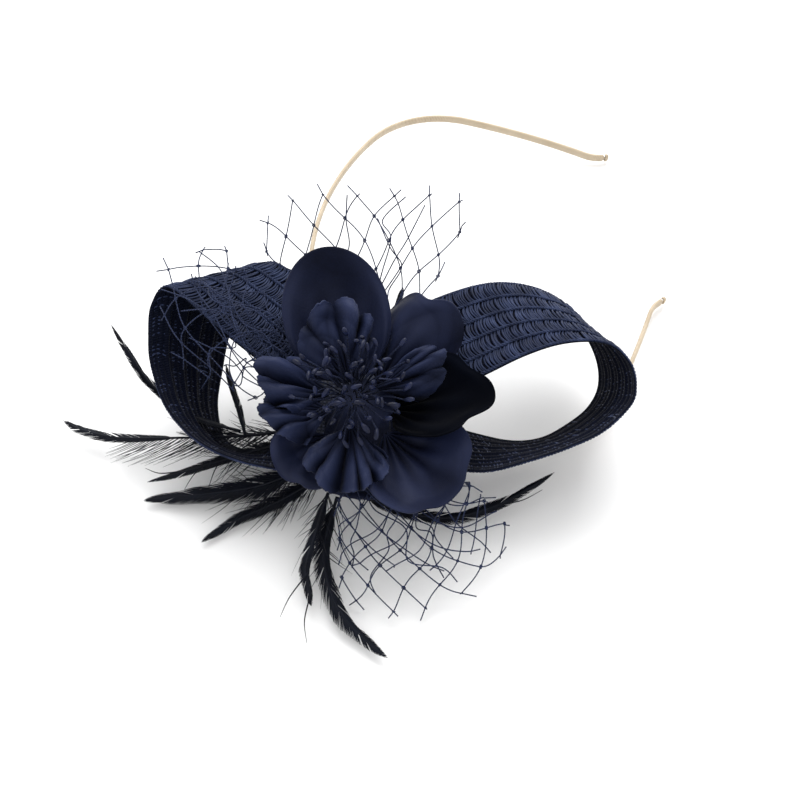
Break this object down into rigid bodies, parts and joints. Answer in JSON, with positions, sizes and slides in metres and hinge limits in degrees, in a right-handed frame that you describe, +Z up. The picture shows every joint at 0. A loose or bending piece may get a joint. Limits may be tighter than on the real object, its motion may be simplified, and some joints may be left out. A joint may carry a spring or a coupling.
{
  "type": "fascinator headpiece",
  "caption": "Fascinator headpiece: a cloth flower with stamens, two straw braid loops, netting and feathers on a slim wrapped head band.",
  "frame": {"origin": "middle of the footprint's box on the table the piece lies on", "axes": "+Z up from the table; +Y away from the front feathers towards the far end of the band; +X towards the near end of the band"},
  "size_m": [0.2203, 0.2379, 0.0676],
  "materials": {
    "steel_strip": "bare spring steel",
    "satin_wrap": "satin ribbon, wound in fine slanting turns",
    "sewing_thread": "twisted thread",
    "felt": "pressed felt",
    "buckram": "stiff open weave",
    "binding": "corded edge",
    "straw_braid": "stitched fine straw braid, low sheen",
    "petal_cloth": "stiffened matt satin",
    "ruffle_cloth": "stiffened matt satin with a pinked rim",
    "flower_cup": "matt",
    "stamen_thread": "waxed thread",
    "stamen_head": "low gloss",
    "net": "fine knotted thread",
    "feather": "dyed barbs with a soft sheen"
  },
  "bodies": {
    "root": {"band_core": "steel_strip", "band_wrap_far": "satin_wrap", "band_wrap_crown": "satin_wrap", "band_wrap_bend": "satin_wrap", "band_wrap_near": "satin_wrap", "band_cap_far": "satin_wrap", "band_cap_near": "satin_wrap", "base_felt": "felt", "base_buckram": "buckram", "base_binding": "binding", "band_stitches": "sewing_thread", "left_braid_1": "straw_braid", "left_braid_2": "straw_braid", "left_braid_3": "straw_braid", "left_braid_4": "straw_braid", "left_braid_5": "straw_braid", "right_braid_1": "straw_braid", "right_braid_2": "straw_braid", "right_braid_3": "straw_braid", "right_braid_4": "straw_braid", "right_braid_5": "straw_braid", "petal_top": "petal_cloth", "petal_upper_right": "petal_cloth", "petal_right": "petal_cloth", "petal_lower_right": "petal_cloth", "petal_lower_left": "petal_cloth", "ruffle_top": "ruffle_cloth", "ruffle_left_upper": "ruffle_cloth", "ruffle_left_lower": "ruffle_cloth", "ruffle_bottom": "ruffle_cloth", "ruffle_right": "ruffle_cloth", "flower_cup": "flower_cup", "stamen_threads": "stamen_thread", "stamen_heads": "stamen_head", "net_upper": "net", "net_left": "net", "net_lower": "net", "feather_left_high": "feather", "feather_left_long": "feather", "feather_left_short": "feather", "feather_front_long": "feather", "feather_front_low": "feather", "feather_loop": "feather", "feather_down_long": "feather", "feather_down_short": "feather", "feather_right_long": "feather", "feather_back": "feather"}
  },
  "joints": []
}
